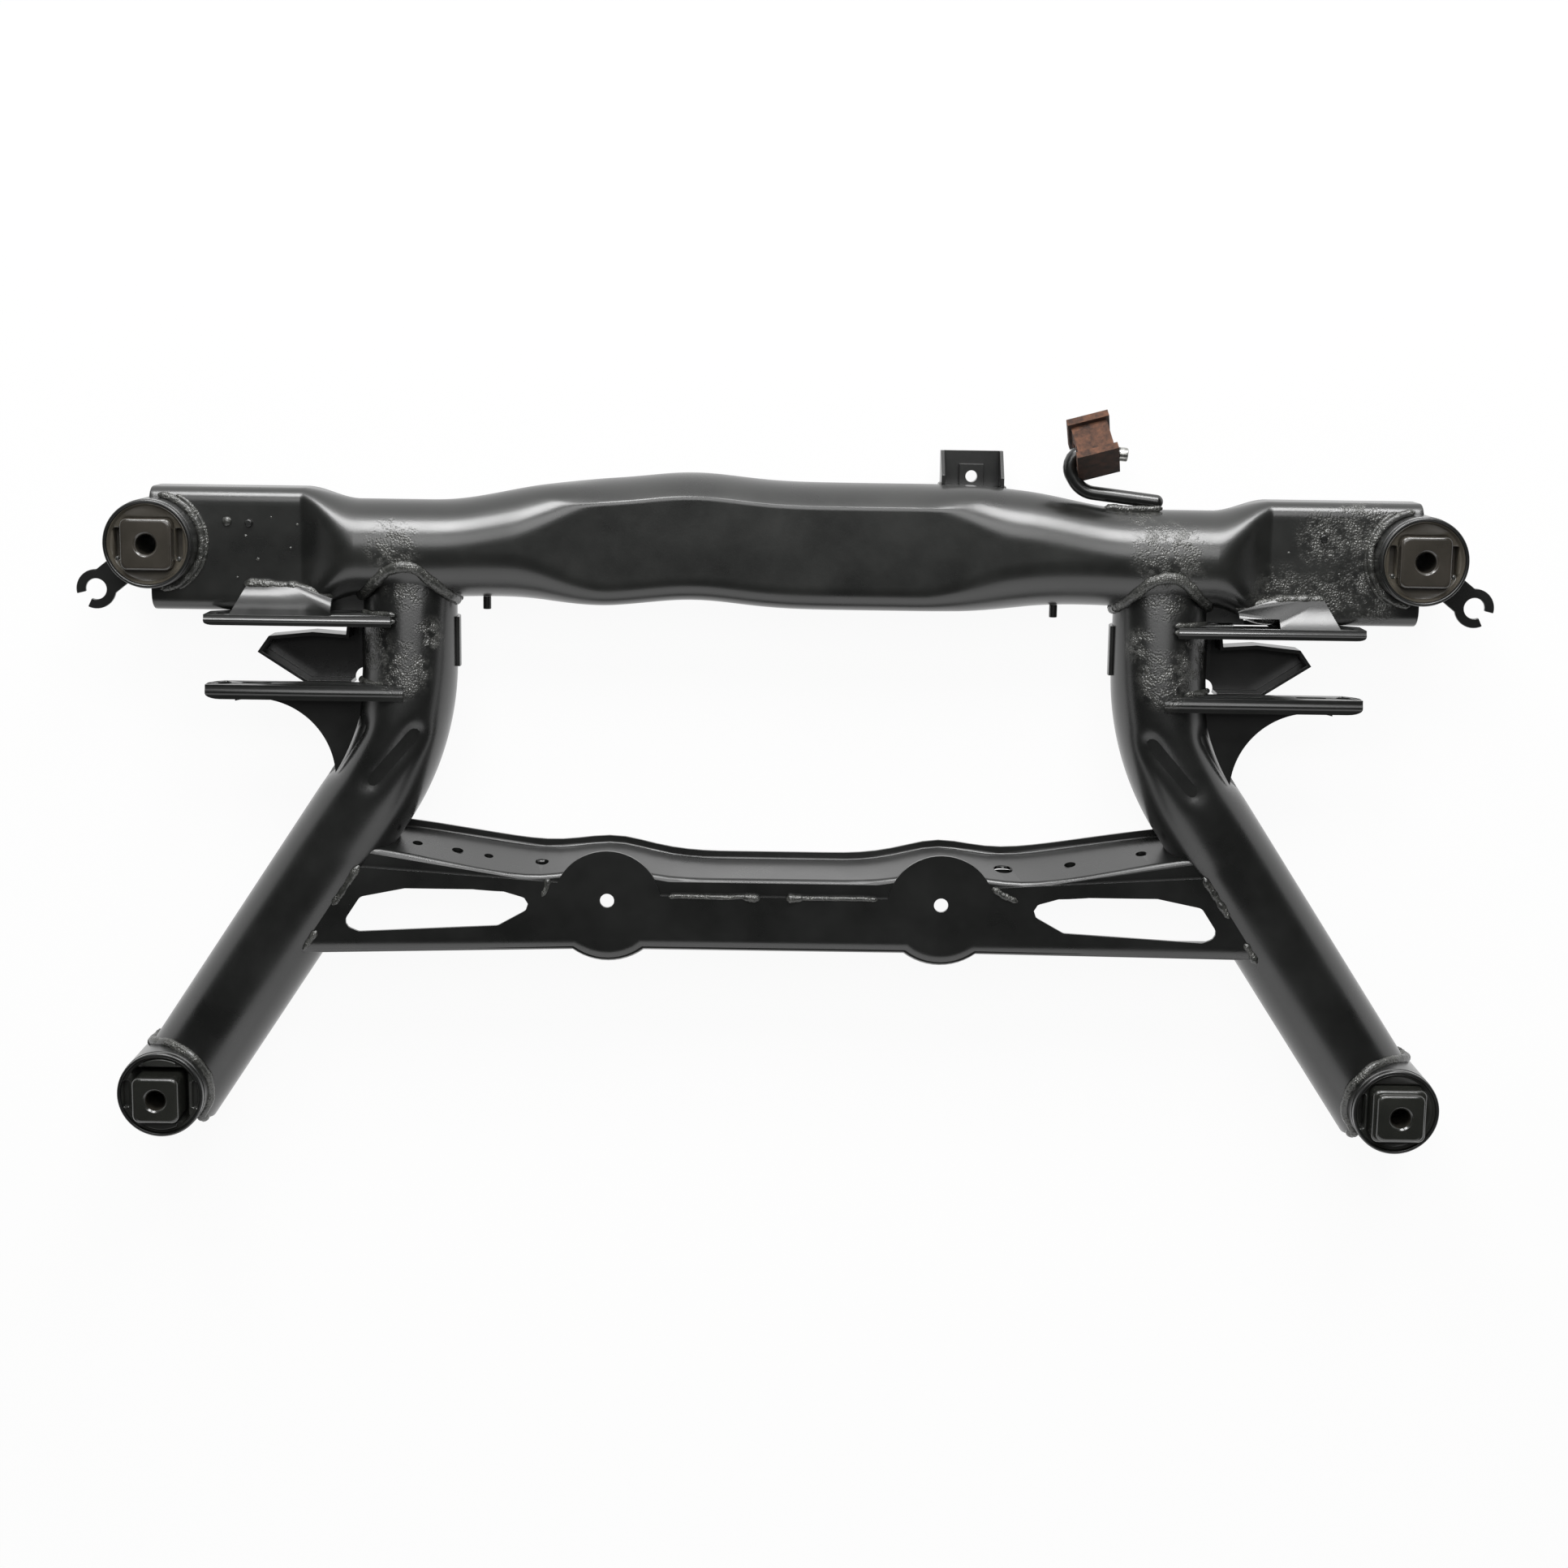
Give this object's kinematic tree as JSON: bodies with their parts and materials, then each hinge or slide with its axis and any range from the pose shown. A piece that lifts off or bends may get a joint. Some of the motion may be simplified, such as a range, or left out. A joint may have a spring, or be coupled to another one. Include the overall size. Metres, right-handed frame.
{
  "type": "rear axle subframe",
  "caption": "Welded steel rear axle subframe: formed cross tube, bent side rails and pressed front crossmember, with rubber body mounts and link brackets.",
  "frame": {"origin": "centre of the four body bolts, on the plane that the mount cores rest on", "axes": "+X across the vehicle, +Y to the vehicle's rear, +Z along the body bolts, out of the welded face that the picture shows"},
  "size_m": [1.22, 0.6411, 0.124],
  "materials": {
    "black_paint": "satin black over worn steel",
    "bush_rubber": "painted-over rubber",
    "hanger_rubber": "rust-brown, dusty"
  },
  "bodies": {
    "root": {"rear_cross_tube": "black_paint", "left_side_rail": "black_paint", "right_side_rail": "black_paint", "rear_left_sleeve": "black_paint", "rear_right_sleeve": "black_paint", "front_left_sleeve": "black_paint", "front_right_sleeve": "black_paint", "rear_left_mount_rubber": "bush_rubber", "rear_right_mount_rubber": "bush_rubber", "front_left_mount_rubber": "bush_rubber", "front_right_mount_rubber": "bush_rubber", "rear_left_mount_core": "black_paint", "rear_right_mount_core": "black_paint", "front_left_mount_core": "black_paint", "front_right_mount_core": "black_paint", "crossmember_shell": "black_paint", "crossmember_plate": "black_paint", "left_rear_link_bracket": "black_paint", "right_rear_link_bracket": "black_paint", "left_front_link_bracket": "black_paint", "right_front_link_bracket": "black_paint", "left_inner_link_bracket": "black_paint", "right_inner_link_bracket": "black_paint", "left_rail_saddle": "black_paint", "right_rail_saddle": "black_paint", "left_cable_hook": "black_paint", "right_cable_hook": "black_paint", "harness_bracket": "black_paint", "harness_nut": "black_paint", "hanger_rod": "black_paint", "hanger_block": "hanger_rubber", "left_clip_stud": "black_paint", "right_clip_stud": "black_paint", "left_earth_stud": "black_paint", "right_earth_stud": "black_paint"}
  },
  "joints": []
}
